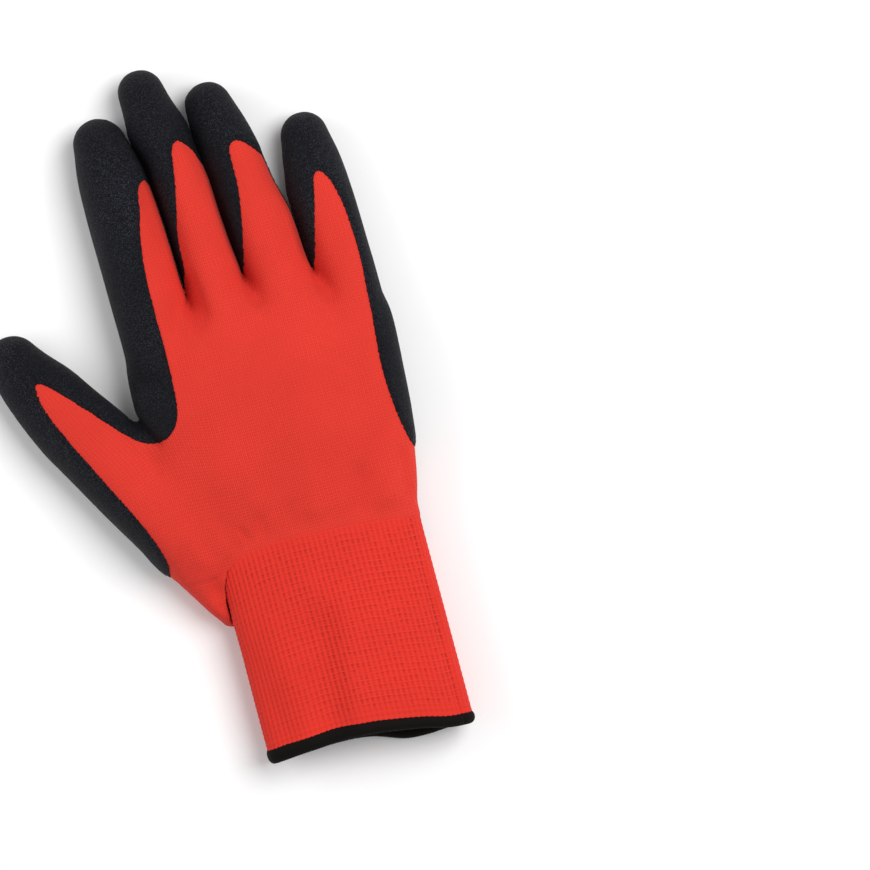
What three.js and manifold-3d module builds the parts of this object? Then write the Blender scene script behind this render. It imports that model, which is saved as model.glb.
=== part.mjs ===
// A knitted work glove for the right hand with a crinkle latex grip coating, lying palm down.
// The cuff's axis is Y with the fingertips at +Y, the little finger is at +X, the back of the hand
// is up (+Z), and the glove lies on z = 0. The origin is under the middle of the palm.
import * as THREE from 'three';
import { mergeVertices } from 'three/addons/utils/BufferGeometryUtils.js';
import Module from 'manifold-3d';

const wasm = await Module();
wasm.setup();

// Driving dimensions in millimetres
const CUFF_LENGTH = 70;
const CUFF_WIDTH = 74.6;
const CUFF_THICKNESS = 26.5;
const PALM_LENGTH = 100;
const PALM_WIDTH = 95;
const PALM_THICKNESS = 32;
const KNUCKLE_DROP = 27;
const FINGER_THICKNESS = 21;

const THUMB_LENGTH = 116;
const INDEX_LENGTH = 108;
const MIDDLE_LENGTH = 116;
const RING_LENGTH = 108;
const LITTLE_LENGTH = 99;

const THUMB_WIDTH = 26.5;
const INDEX_WIDTH = 25;
const MIDDLE_WIDTH = 20;
const RING_WIDTH = 23;
const LITTLE_WIDTH = 23;

const THENAR_LENGTH = 60;
const THENAR_WIDTH = 40;
const SLOUCH_LENGTH = 48;
const SLOUCH_WIDTH = 25;

const COAT = 1.0;
const KNIT_WALL = 1.2;
const CUFF_WALL = 1.7;
const CLEARANCE = 0.3;

const HEM_HEIGHT = 4.6;
const HEM_INSIDE = 1.0;
const HEM_SLANT = 7.4;

// How the forms lie: the middle of a section stands lower than its half height, so its underside
// is pressed flat. The corner number rounds a section between an ellipse (2) and a box.
const SETTLE = 0.88;
const PALM_CORNER = 2.5;
const FINGER_CORNER = 2.2;
const ROUND_TIP = [30, 62];
const FINGER_SIDES = 16;
const PALM_SIDES = 28;

// Depths under the glove's outermost surface, which is the coating's
const COAT_BACK = COAT;
const KNIT_FACE = COAT + CLEARANCE;
const KNIT_BACK = KNIT_FACE + KNIT_WALL;
const CUFF_BACK = KNIT_FACE + CUFF_WALL;

// Places along the glove, from the hem
const JOIN = CUFF_LENGTH;
const REST = CUFF_LENGTH + 0.42 * PALM_LENGTH;
const ABOVE = 3 * PALM_THICKNESS;

// Sections of the palm: how far along from the join, how far the sides stand to the thumb side
// and to the little finger's side, how thick it is, and how much of the knuckles' bow it follows
const PALM_ROWS = [
  { along: 0.07, thumbSide: 0.435, farSide: 0.412, thick: 0.86, bow: 0 },
  { along: 0.15, thumbSide: 0.475, farSide: 0.432, thick: 0.91, bow: 0 },
  { along: 0.27, thumbSide: 0.505, farSide: 0.452, thick: 0.97, bow: 0 },
  { along: 0.41, thumbSide: 0.52, farSide: 0.465, thick: 1.0, bow: 0 },
  { along: 0.53, thumbSide: 0.528, farSide: 0.472, thick: 0.99, bow: 0 },
  { along: 0.66, thumbSide: 0.524, farSide: 0.477, thick: 0.95, bow: 0 },
  { along: 0.78, thumbSide: 0.52, farSide: 0.472, thick: 0.88, bow: 0.2 },
  { along: 0.88, thumbSide: 0.515, farSide: 0.468, thick: 0.77, bow: 0.45 },
  { along: 0.95, thumbSide: 0.51, farSide: 0.462, thick: 0.6, bow: 0.65 },
  { along: 1.0, thumbSide: 0.5, farSide: 0.45, thick: 0.34, bow: 0.8 },
];

// The thumb and fingers: where each starts inside the palm, as shares of the palm's width and
// length, its lean to the thumb side in degrees, how far its middle bows to the little finger's
// side as a share of its length, and how high it stands as a share of the finger thickness
const STALLS = {
  thumb: { across: -0.4, along: -0.05, lean: 25.3, bow: -0.03, high: 1.08 },
  index: { across: -0.384, along: 0.56, lean: 1.2, bow: 0.003, high: 1.0 },
  middle: { across: -0.13, along: 0.6, lean: 4.2, bow: 0.017, high: 1.1 },
  ring: { across: 0.107, along: 0.58, lean: 5.2, bow: 0.026, high: 1.04 },
  little: { across: 0.345, along: 0.48, lean: 0.7, bow: 0.0, high: 0.98 },
};
Object.assign(STALLS.thumb, { length: THUMB_LENGTH, width: THUMB_WIDTH });
Object.assign(STALLS.index, { length: INDEX_LENGTH, width: INDEX_WIDTH });
Object.assign(STALLS.middle, { length: MIDDLE_LENGTH, width: MIDDLE_WIDTH });
Object.assign(STALLS.ring, { length: RING_LENGTH, width: RING_WIDTH });
Object.assign(STALLS.little, { length: LITTLE_LENGTH, width: LITTLE_WIDTH });

// The fullness between the thumb and the palm, and the knit that slouches down beside the cuff
const THENAR = { across: -0.33, along: 0.02, lean: 24, bow: 0, high: 1 };
const SLOUCH = { across: -0.52, along: 0.22, lean: -163.5, bow: 0, high: 1 };
Object.assign(THENAR, { length: THENAR_LENGTH, width: THENAR_WIDTH });
Object.assign(SLOUCH, { length: SLOUCH_LENGTH, width: SLOUCH_WIDTH });

// Sections of a finger: share of its length, of its width and of its thickness
const FINGER_ROWS = [
  { along: 0.0, wide: 0.5, thick: 0.9 },
  { along: 0.14, wide: 0.94, thick: 1.16 },
  { along: 0.3, wide: 1.0, thick: 1.14 },
  { along: 0.52, wide: 1.0, thick: 1.04 },
  { along: 0.7, wide: 0.97, thick: 0.98 },
  { along: 0.83, wide: 0.88, thick: 0.92 },
];
const THUMB_ROWS = [
  { along: 0.0, wide: 0.45, thick: 0.9 },
  { along: 0.14, wide: 0.78, thick: 1.14 },
  { along: 0.3, wide: 0.94, thick: 1.18 },
  { along: 0.48, wide: 1.04, thick: 1.1 },
  { along: 0.66, wide: 1.02, thick: 1.0 },
  { along: 0.82, wide: 0.88, thick: 0.93 },
];
const THENAR_ROWS = [
  { along: 0.0, wide: 0.7, thick: 1.16 },
  { along: 0.3, wide: 0.96, thick: 1.26 },
  { along: 0.55, wide: 1.0, thick: 1.24 },
];
const SLOUCH_ROWS = [
  { along: 0.0, wide: 0.8, thick: 1.18 },
  { along: 0.2, wide: 1.02, thick: 1.16 },
  { along: 0.45, wide: 0.84, thick: 1.08 },
  { along: 0.7, wide: 0.6, thick: 0.94 },
];

// How wide and thick each form is where its rounded tip starts
const FINGER_TIP = { wide: 0.74, thick: 0.84 };
const THENAR_TIP = { wide: 0.86, thick: 1.05 };
const SLOUCH_TIP = { wide: 0.36, thick: 0.8 };

// Where the back is bare: on each finger the coating's bands leave a tongue of knit between them.
// Each row gives the share of the length and the shares of the width where the knit shows.
const TONGUES = {
  thumb: [
    { along: 0.3, from: 0.2, to: 0.9 },
    { along: 0.42, from: 0.2, to: 0.86 },
    { along: 0.52, from: 0.22, to: 0.8 },
    { along: 0.62, from: 0.26, to: 0.72 },
    { along: 0.71, from: 0.31, to: 0.6 },
    { along: 0.79, from: 0.38, to: 0.47 },
  ],
  index: [
    { along: 0.02, from: 0.62, to: 1.01 },
    { along: 0.42, from: 0.62, to: 1.01 },
    { along: 0.54, from: 0.66, to: 1.01 },
    { along: 0.66, from: 0.77, to: 1.01 },
    { along: 0.73, from: 0.89, to: 0.97 },
  ],
  middle: [
    { along: 0.15, from: 0.0, to: 1.0 },
    { along: 0.3, from: 0.02, to: 1.01 },
    { along: 0.38, from: 0.19, to: 1.01 },
    { along: 0.5, from: 0.22, to: 1.01 },
    { along: 0.6, from: 0.33, to: 1.01 },
    { along: 0.69, from: 0.5, to: 0.93 },
    { along: 0.76, from: 0.68, to: 0.78 },
  ],
  ring: [
    { along: 0.15, from: 0.0, to: 1.0 },
    { along: 0.36, from: 0.04, to: 1.01 },
    { along: 0.47, from: 0.23, to: 1.01 },
    { along: 0.58, from: 0.33, to: 1.01 },
    { along: 0.67, from: 0.4, to: 0.97 },
    { along: 0.73, from: 0.48, to: 0.84 },
    { along: 0.78, from: 0.62, to: 0.7 },
  ],
  little: [
    { along: 0.2, from: 0.1, to: 0.86 },
    { along: 0.38, from: 0.04, to: 0.86 },
    { along: 0.5, from: 0.17, to: 0.86 },
    { along: 0.6, from: 0.29, to: 0.82 },
    { along: 0.7, from: 0.42, to: 0.72 },
    { along: 0.76, from: 0.54, to: 0.62 },
  ],
};

// The bare back's outline below the fingers, as shares of the palm's width and length
const BACK_OUTLINE = [
  { across: -0.58, along: 0.03 },
  { across: -0.625, along: 0.2 },
  { across: -0.655, along: 0.34 },
  { across: -0.6, along: 0.46 },
  { across: -0.51, along: 0.485 },
  { across: -0.46, along: 0.43 },
  { across: -0.42, along: 0.475 },
  { across: -0.37, along: 0.56 },
  { across: -0.358, along: 0.7 },
  { across: -0.358, along: 0.88 },
  { across: -0.25, along: 0.93 },
  { across: -0.01, along: 0.99 },
  { across: 0.24, along: 0.9 },
  { across: 0.26, along: 0.88 },
  { across: 0.41, along: 0.86 },
  { across: 0.408, along: 0.64 },
  { across: 0.39, along: 0.52 },
  { across: 0.4, along: 0.36 },
  { across: 0.425, along: 0.23 },
  { across: 0.6, along: 0.18 },
];

// The coating's lower edge on the palm side, as shares of the palm's width and length from the join
const PALM_EDGE = [
  { across: -0.8, along: 0.03 },
  { across: -0.55, along: 0.01 },
  { across: -0.4, along: -0.05 },
  { across: -0.2, along: -0.14 },
  { across: 0.05, along: -0.21 },
  { across: 0.19, along: -0.23 },
  { across: 0.3, along: -0.17 },
  { across: 0.39, along: -0.1 },
  { across: 0.6, along: -0.03 },
];

// A point on a rounded section at the given turn, for a half width and half height of one
function sectionPoint(turn, corner) {
  const round = (value) => Math.sign(value) * Math.abs(value) ** (2 / corner);
  return [round(Math.cos(turn)), round(Math.sin(turn))];
}

// A solid from rings of as many points each, closed at either end by a strip across its ring
function solidFromRings(rings) {
  const sides = rings[0].length;
  const faces = [];
  for (let i = 0; i + 1 < rings.length; i += 1) {
    for (let j = 0; j < sides; j += 1) {
      const a = i * sides + j;
      const b = i * sides + ((j + 1) % sides);
      faces.push(a, a + sides, b + sides, a, b + sides, b);
    }
  }
  const last = (rings.length - 1) * sides;
  for (let j = 0; j < sides / 2; j += 1) {
    const [a, b] = [j, j + 1];
    const [c, d] = [sides - j - 1, (sides - j) % sides];
    if (b !== c) faces.push(a, b, c, last + a, last + c, last + b);
    if (a !== d) faces.push(a, c, d, last + a, last + d, last + c);
  }
  return toSolid(new THREE.BufferGeometry().setFromPoints(rings.flat()).setIndex(faces));
}

function toSolid(geometry) {
  const bare = geometry.clone();
  bare.deleteAttribute('normal');
  bare.deleteAttribute('uv');
  const merged = mergeVertices(bare, 1e-5);
  return new wasm.Manifold(new wasm.Mesh({
    numProp: 3,
    vertProperties: Float32Array.from(merged.attributes.position.array),
    triVerts: Uint32Array.from(merged.index.array),
  }));
}

function join(solids) {
  return solids.reduce((whole, next) => whole.add(next));
}

// One ring of a form lying on z = 0, sunk under the outermost surface by depth
function ring({ centre, side, halfWidth, thickness, sides, corner, depth, shift = () => 0 }) {
  const halfHeight = thickness / (1 + SETTLE);
  const middle = halfHeight * SETTLE;
  const wide = halfWidth - depth;
  const high = halfHeight - depth;
  return Array.from({ length: sides }, (unused, j) => {
    const [u, v] = sectionPoint((2 * Math.PI * j) / sides, corner);
    const x = centre.x + side.x * u * wide;
    const y = centre.y + side.y * u * wide;
    return new THREE.Vector3(x, y + shift(x), Math.max(depth, middle + v * high));
  });
}

// The line that a finger follows, from inside the palm to its tip
function stallPath({ across, along, length, lean, bow }) {
  const start = new THREE.Vector3(across * PALM_WIDTH, JOIN + along * PALM_LENGTH, 0);
  const turn = THREE.MathUtils.degToRad(lean);
  const heading = new THREE.Vector3(-Math.sin(turn), Math.cos(turn), 0);
  const right = new THREE.Vector3(Math.cos(turn), Math.sin(turn), 0);
  const end = start.clone().addScaledVector(heading, length);
  const control = start.clone().addScaledVector(heading, length / 2);
  control.addScaledVector(right, 2 * bow * length);
  return new THREE.QuadraticBezierCurve3(start, control, end);
}

function sideOf(path, share) {
  const heading = path.getTangentAt(share);
  return new THREE.Vector3(heading.y, -heading.x, 0);
}

// A finger: its rows of sections and then a rounded tip, sunk by depth on all sides
function stall(form, rows, tip, depth) {
  const path = stallPath(form);
  const high = FINGER_THICKNESS * form.high;
  const tipRadius = (tip.wide * form.width) / 2;
  const tipStart = 1 - tipRadius / form.length;
  const rings = rows.map((row, i) => ring({
    centre: path.getPointAt(i ? row.along : depth / form.length),
    side: sideOf(path, row.along),
    halfWidth: (row.wide * form.width) / 2,
    thickness: row.thick * high,
    sides: FINGER_SIDES,
    corner: FINGER_CORNER,
    depth,
  }));
  const tipHigh = (tip.thick * high) / (1 + SETTLE);
  for (const degrees of [0, ...ROUND_TIP]) {
    const turn = THREE.MathUtils.degToRad(degrees);
    const share = tipStart + ((tipRadius - depth) * Math.sin(turn)) / form.length;
    const narrow = Math.cos(turn);
    const height = (tipHigh - depth) * narrow;
    const wide = (tipRadius - depth) * narrow;
    const centre = path.getPointAt(share);
    const side = sideOf(path, share);
    rings.push(Array.from({ length: FINGER_SIDES }, (unused, j) => {
      const [u, v] = sectionPoint((2 * Math.PI * j) / FINGER_SIDES, FINGER_CORNER);
      const z = Math.max(depth, tipHigh * SETTLE + v * height);
      return new THREE.Vector3(centre.x + side.x * u * wide, centre.y + side.y * u * wide, z);
    }));
  }
  return solidFromRings(rings);
}

function stalls(depth) {
  return Object.entries(STALLS).map(([name, form]) => (
    stall(form, name === 'thumb' ? THUMB_ROWS : FINGER_ROWS, FINGER_TIP, depth)
  ));
}

// The thumb's root: the fullness beside the palm and the slouch beside the cuff
function thumbRoot(depth) {
  return join([stall(THENAR, THENAR_ROWS, THENAR_TIP, depth), stall(SLOUCH, SLOUCH_ROWS, SLOUCH_TIP, depth)]);
}

// The palm, with its first section carried on towards the cuff by runOn
function palm(depth, runOn) {
  const knuckleMiddle = -0.03 * PALM_WIDTH;
  const rings = PALM_ROWS.map((row) => {
    const left = -row.thumbSide * PALM_WIDTH;
    const right = row.farSide * PALM_WIDTH;
    const retreat = (depth * row.bow) / PALM_ROWS.at(-1).bow;
    return ring({
      centre: new THREE.Vector3((left + right) / 2, JOIN + row.along * PALM_LENGTH - retreat, 0),
      side: new THREE.Vector3(1, 0, 0),
      halfWidth: (right - left) / 2,
      thickness: row.thick * PALM_THICKNESS,
      sides: PALM_SIDES,
      corner: PALM_CORNER,
      depth,
      shift: (x) => -KNUCKLE_DROP * row.bow * Math.abs((x - knuckleMiddle) / (PALM_WIDTH / 2)) ** 1.5,
    });
  });
  return solidFromRings([cuffRing(depth, JOIN - runOn, 0), cuffRing(depth, JOIN, 0), ...rings]);
}

// A section of the cuff, slanting by the given share of the hem's slant
function cuffRing(depth, at, slant) {
  return ring({
    centre: new THREE.Vector3(0, at, 0),
    side: new THREE.Vector3(1, 0, 0),
    halfWidth: CUFF_WIDTH / 2,
    thickness: CUFF_THICKNESS,
    sides: PALM_SIDES,
    corner: PALM_CORNER,
    depth,
    shift: (x) => (-slant * HEM_SLANT * x) / CUFF_WIDTH,
  });
}

// A length of the cuff's tube, from a line above the hem's edge to the join or to another such line
function cuffTube(depth, fromHem, upTo, slantAbove = 0) {
  return solidFromRings([cuffRing(depth, fromHem, 1), cuffRing(depth, upTo, slantAbove)]);
}

function prism(points, from, to) {
  const shape = new THREE.Shape(points.map(([x, y]) => new THREE.Vector2(x, y)));
  const body = new THREE.ExtrudeGeometry(shape, { depth: to - from, bevelEnabled: false });
  return toSolid(body.translate(0, 0, from));
}

function palmPoint({ across, along }) {
  return [across * PALM_WIDTH, JOIN + along * PALM_LENGTH];
}

// The tongue of bare knit on one finger's back
function tongue(name) {
  const form = STALLS[name];
  const path = stallPath(form);
  const place = (row, share) => {
    const centre = path.getPointAt(row.along);
    const side = sideOf(path, row.along);
    const out = (share - 0.5) * form.width;
    return [centre.x + side.x * out, centre.y + side.y * out];
  };
  const rows = TONGUES[name];
  const up = rows.map((row) => place(row, row.to));
  const down = rows.map((row) => place(row, row.from)).reverse();
  const high = (FINGER_THICKNESS * form.high * SETTLE) / (1 + SETTLE);
  return prism([...up, ...down], high, ABOVE);
}

// The knitted palm, back and stalls: hollow, open at the wrist, and clear of the cuff beside it
function makeKnitHand() {
  const outer = join([palm(KNIT_FACE, CUFF_WALL), ...stalls(KNIT_FACE), thumbRoot(KNIT_FACE)]);
  const besideCuff = cuffTube(KNIT_FACE - CLEARANCE, -CUFF_LENGTH, JOIN);
  const behindWall = cuffTube(KNIT_FACE - CLEARANCE - KNIT_WALL, -CUFF_LENGTH, JOIN + KNIT_WALL);
  const [thumb, ...fingers] = stalls(KNIT_BACK);
  const thumbSide = join([thumbRoot(KNIT_BACK), thumb]).subtract(behindWall);
  const inner = join([palm(KNIT_BACK, 2 * CUFF_WALL), ...fingers, thumbSide]);
  return outer.subtract(besideCuff).subtract(inner);
}

// The ribbed wrist: an open tube from inside the hem's channel to the hand
function makeRibCuff() {
  const start = HEM_HEIGHT / 2;
  const outer = cuffTube(KNIT_FACE, start, JOIN - CLEARANCE);
  return outer.subtract(cuffTube(CUFF_BACK, start - CUFF_WALL, JOIN + CUFF_WALL));
}

// The binding wraps the cuff's edge: a channel that the cuff's wall stands in
function makeCuffHem() {
  const tube = (depth, from, upTo) => cuffTube(depth, from, upTo, 1);
  const above = 2 * HEM_HEIGHT;
  const channelFoot = HEM_HEIGHT / 2 - CLEARANCE;
  const channel = tube(KNIT_FACE - CLEARANCE, channelFoot, above)
    .subtract(tube(CUFF_BACK + CLEARANCE, -HEM_HEIGHT, 2 * above));
  const opening = tube(CUFF_BACK + CLEARANCE + HEM_INSIDE, -HEM_HEIGHT, above);
  return tube(0, 0, HEM_HEIGHT).subtract(channel).subtract(opening);
}

// The latex: a skin over everything, cut off at the wrist and where the back is bare
function makeLatexCoating() {
  const skin = (depth) => join([
    palm(depth, CUFF_WALL),
    ...stalls(depth),
    thumbRoot(depth),
    cuffTube(depth, 0, JOIN + CUFF_WALL),
  ]);
  const farCorners = [[PALM_WIDTH, -PALM_WIDTH], [-PALM_WIDTH, -PALM_WIDTH]];
  const edge = PALM_EDGE.map(palmPoint);
  const wrist = prism([farCorners[0], ...edge.reverse(), farCorners[1]], -COAT, ABOVE);
  const middle = (PALM_THICKNESS * SETTLE) / (1 + SETTLE);
  const back = prism([...BACK_OUTLINE.map(palmPoint), ...farCorners].reverse(), middle, ABOVE);
  const bare = join([back, ...Object.keys(TONGUES).map(tongue)]);
  return skin(0).subtract(skin(COAT_BACK)).subtract(wrist).subtract(bare);
}

const RED_KNIT = { color: 0xd83a2a, roughness: 0.9, metalness: 0 };
const BLACK_THREAD = { color: 0x16130f, roughness: 0.85, metalness: 0 };
const BLACK_LATEX = { color: 0x22242a, roughness: 0.75, metalness: 0 };

function makeMesh(name, solid, look) {
  const { vertProperties, triVerts } = solid.getMesh();
  const geometry = new THREE.BufferGeometry();
  geometry.setAttribute('position', new THREE.BufferAttribute(Float32Array.from(vertProperties), 3));
  geometry.setIndex(new THREE.BufferAttribute(Uint32Array.from(triVerts), 1));
  geometry.computeVertexNormals();
  const mesh = new THREE.Mesh(geometry, new THREE.MeshStandardMaterial(look));
  mesh.name = name;
  return mesh;
}

const glove = new THREE.Group();
glove.position.y = -REST;
glove.add(makeMesh('knit_hand', makeKnitHand(), RED_KNIT));
glove.add(makeMesh('rib_cuff', makeRibCuff(), RED_KNIT));
glove.add(makeMesh('cuff_hem', makeCuffHem(), BLACK_THREAD));
glove.add(makeMesh('latex_coating', makeLatexCoating(), BLACK_LATEX));

export default glove;
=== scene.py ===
import math
from functools import lru_cache

import bpy
import numpy as np
from bpy.props import FloatProperty, FloatVectorProperty, PointerProperty
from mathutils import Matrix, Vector


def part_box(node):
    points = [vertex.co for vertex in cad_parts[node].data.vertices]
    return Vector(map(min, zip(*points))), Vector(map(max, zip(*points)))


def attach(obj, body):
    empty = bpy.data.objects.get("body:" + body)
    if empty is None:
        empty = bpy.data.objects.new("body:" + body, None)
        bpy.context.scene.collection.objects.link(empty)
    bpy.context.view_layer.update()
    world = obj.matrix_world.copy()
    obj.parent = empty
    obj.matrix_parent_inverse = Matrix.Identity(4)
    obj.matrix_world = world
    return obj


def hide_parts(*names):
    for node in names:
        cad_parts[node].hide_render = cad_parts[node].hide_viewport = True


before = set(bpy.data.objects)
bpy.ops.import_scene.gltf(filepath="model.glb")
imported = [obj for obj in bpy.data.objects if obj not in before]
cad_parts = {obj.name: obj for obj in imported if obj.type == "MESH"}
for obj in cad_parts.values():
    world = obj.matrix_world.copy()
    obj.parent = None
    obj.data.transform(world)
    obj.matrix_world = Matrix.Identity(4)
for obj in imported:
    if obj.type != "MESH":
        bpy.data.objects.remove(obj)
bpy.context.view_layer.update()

bl_info = {
    "name": "Latex coated grip glove",
    "version": (1, 0, 0),
    "blender": (4, 5, 0),
    "location": "View3D > Sidebar > Glove",
    "description": "Knitted work glove with a crinkle latex grip coating",
    "category": "Add Mesh",
}

MM = 0.001
CUFF_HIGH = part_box("rib_cuff")[1]
HEM_LOW, HEM_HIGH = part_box("cuff_hem")

# The glove's own places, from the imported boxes: the floor, the middle of the hem and the wrist's join
FLOOR = HEM_LOW.z
HEM_SLANT = 7.4 * MM
HEM_HEIGHT = HEM_HIGH.y - HEM_LOW.y - HEM_SLANT
HEM_Y = HEM_LOW.y + HEM_SLANT / 2
JOIN_Y = CUFF_HIGH.y + 0.3 * MM
OUTER_CUFF_WIDTH = HEM_HIGH.x - HEM_LOW.x
OUTER_CUFF_THICKNESS = HEM_HIGH.z - HEM_LOW.z

# How the forms lie: a section's middle stands lower than its half height, its underside is flat and
# its corners are rounded by a power. The knuckles' middle is a share of the palm's width
SETTLE = 0.88
PALM_CORNER = 2.5
FINGER_CORNER = 2.15
CUFF_HALF_HEIGHT = OUTER_CUFF_THICKNESS / (1 + SETTLE)
CUFF_MIDDLE = CUFF_HALF_HEIGHT * SETTLE
KNUCKLE_MIDDLE = -0.03

# How finely the forms, the cuff and the hem are sampled, and how often the skin is evened
RINGS = 64
SECTION_POINTS = 72
TIP_RINGS = 14
RUN_SAMPLES = 4000
STITCH_SAMPLES = 5
INNER_ROWS = 13
HEM_POINTS = 1200
HEM_SECTION_POINTS = 28
SOFTENING_ROUNDS = 40
EDGE_ROUNDS = 12

# Small measures: the cuff's wall with its ribs, the hem's roll and how far it sits in, how deep the
# hand's lower edge goes under the cuff, the coating's thinnest place and the ripple of its edge
CUFF_WALL = 1.8 * MM
HEM_RADIUS = 2.0 * MM
HEM_INSET = 1.65 * MM
HAND_DIVE = 0.28 * MM
COAT_EDGE = 0.28 * MM
CLEARANCE = 0.05 * MM
EDGE_RIPPLE, RIPPLE_ALONG, RIPPLE_ACROSS = 0.22 * MM, 0.29 * MM, 0.37 * MM

# Heights from which a place begins to count as on the back and from which it does wholly, how wide
# the flanks beside the slits sink, and where the cuff's strong row of pits runs
BACK_FROM, BACK_FULL = 9 * MM, 17 * MM
FLANK_RIGHT, FLANK_LEFT, FLANK_SPREAD = 4.6 * MM, 0.3 * MM, 1.1 * MM
PIT_ROW, PIT_ROW_WIDTH = 33.1 * MM, 0.9 * MM

# Waves of the gathers over the cuff, as length over 2 pi in millimetres, phase and weight, and the
# depths of the gathers and of the back's broad waves
GATHERS = ((1.3, 0.6, 1.0), (2.2, 2.1, 1.2), (3.6, 0.0, 0.9))
GATHER_DEPTH, WAVE_DEPTH = 0.26 * MM, 0.25 * MM

# The studio: each light's name, place, width and watts, the world's strength, the floor's half width,
# the camera's sensor in millimetres and reach, and the height at which the view's width is measured
LIGHTS = (("key", (0.62, 0.18, 1.1), 0.75, 12.9), ("side", (-0.9, 0.4, 0.7), 0.8, 4.0))
WORLD_STRENGTH = 0.42
FLOOR_REACH = 3.0
SENSOR_WIDTH = 36.0
CAMERA_REACH = 20.0
AIM_HEIGHT = 12 * MM


def table(columns, *rows):
    """Named columns of a short table, each as an array of floats."""
    return {name: np.array(column, dtype=float) for name, column in zip(columns.split(), zip(*rows))}


# Sections of the palm as shares of its length, width and thickness, and of the knuckles' bow
PALM_ROWS = table(
    "along thumb_side far_side thick bow",
    (0, 0.393, 0.393, 0.83, 0),
    (0.07, 0.428, 0.408, 0.86, 0),
    (0.15, 0.468, 0.426, 0.91, 0),
    (0.27, 0.503, 0.448, 0.97, 0),
    (0.41, 0.52, 0.465, 1, 0),
    (0.53, 0.528, 0.472, 0.99, 0),
    (0.66, 0.526, 0.477, 0.95, 0),
    (0.78, 0.522, 0.474, 0.88, 0.2),
    (0.88, 0.517, 0.468, 0.77, 0.45),
    (0.95, 0.51, 0.462, 0.6, 0.65),
    (1, 0.5, 0.45, 0.34, 0.8),
)

# Sections of a finger, of the thumb, and of the fullness and the slouch at the thumb's root
FINGER_ROWS = table(
    "along wide thick",
    (0, 0.5, 0.9), (0.14, 0.94, 1.16), (0.3, 1, 1.14), (0.52, 1, 1.04), (0.7, 0.97, 0.98),
    (0.83, 0.88, 0.92),
)
THUMB_ROWS = table(
    "along wide thick aside",
    (0, 0.45, 0.9, 0),
    (0.14, 0.85, 1.14, 0.05),
    (0.3, 1.02, 1.18, 0.08),
    (0.44, 1.13, 1.12, 0.13),
    (0.53, 1.17, 1.08, 0.145),
    (0.6, 1.135, 1.04, 0.095),
    (0.69, 1.065, 1, 0.035),
    (0.79, 0.97, 0.95, -0.005),
    (0.87, 0.82, 0.9, -0.065),
)
THENAR_ROWS = table("along wide thick", (0, 0.7, 1.16), (0.3, 0.96, 1.26), (0.55, 1, 1.24))
SLOUCH_ROWS = table(
    "along wide thick",
    (0, 0.85, 1.18), (0.2, 1.07, 1.16), (0.45, 0.81, 1.08), (0.7, 0.54, 0.94),
)

# Each form's root in the palm as shares of its width and length, length and width in millimetres,
# lean to the thumb side in degrees, sideways bow and height as shares, and its tip
FORM_NAMES = ("thumb", "index", "middle", "ring", "little", "thenar", "slouch")
FORMS = table(
    "across along length width lean bow high tip_wide tip_thick",
    (-0.392, -0.05, 115, 26.5, 27.5, -0.012, 1.08, 0.72, 0.84),
    (-0.378, 0.56, 107, 24.8, 1.6, 0.005, 1.15, 0.74, 0.84),
    (-0.13, 0.6, 116, 21.8, 4.2, 0.017, 1.07, 0.76, 0.84),
    (0.108, 0.58, 108, 22.6, 5.2, 0.026, 1.04, 0.74, 0.84),
    (0.345, 0.48, 99, 23, 0.7, 0, 0.98, 0.74, 0.84),
    (-0.33, 0.02, 60, 40, 24, 0, 1, 0.86, 1.05),
    (-0.52, 0.22, 46, 25, -163.5, 0, 1, 0.3, 0.8),
)
ROWS_OF = {"thumb": THUMB_ROWS, "thenar": THENAR_ROWS, "slouch": SLOUCH_ROWS}

# Where the knit shows on each finger's back: share of the length, and of the width from and to
TONGUES = {
    "index": table(
        "along left right",
        (0.02, 0.61, 1.2), (0.3, 0.61, 1.2), (0.408, 0.606, 1.2), (0.474, 0.63, 1.2),
        (0.539, 0.666, 1.2), (0.604, 0.725, 1.2), (0.667, 0.795, 1.13), (0.72, 0.83, 1.05),
        (0.745, 0.86, 1), (0.762, 0.91, 0.96),
    ),
    "middle": table(
        "along left right",
        (0.265, 0, 1.2), (0.318, 0.094, 1.2), (0.374, 0.208, 1.2), (0.434, 0.256, 1.2),
        (0.495, 0.298, 1.2), (0.553, 0.387, 1.15), (0.612, 0.478, 1.06), (0.665, 0.55, 1),
        (0.71, 0.605, 0.92), (0.745, 0.65, 0.82), (0.764, 0.7, 0.76),
    ),
    "ring": table(
        "along left right",
        (0.3, 0, 1.2), (0.353, 0.03, 1.2), (0.385, 0.1, 1.2), (0.436, 0.165, 1.2), (0.498, 0.253, 1.2),
        (0.561, 0.338, 1.15), (0.625, 0.42, 1.06), (0.68, 0.46, 0.99), (0.73, 0.49, 0.87),
        (0.765, 0.51, 0.75), (0.782, 0.54, 0.67),
    ),
    "little": table(
        "along left right",
        (0.18, -0.1, 0.72), (0.254, -0.07, 0.76), (0.326, -0.03, 0.775), (0.396, 0.06, 0.805),
        (0.469, 0.165, 0.817), (0.542, 0.235, 0.811), (0.616, 0.32, 0.791), (0.692, 0.41, 0.742),
        (0.754, 0.455, 0.66), (0.795, 0.49, 0.565),
    ),
}

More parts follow.
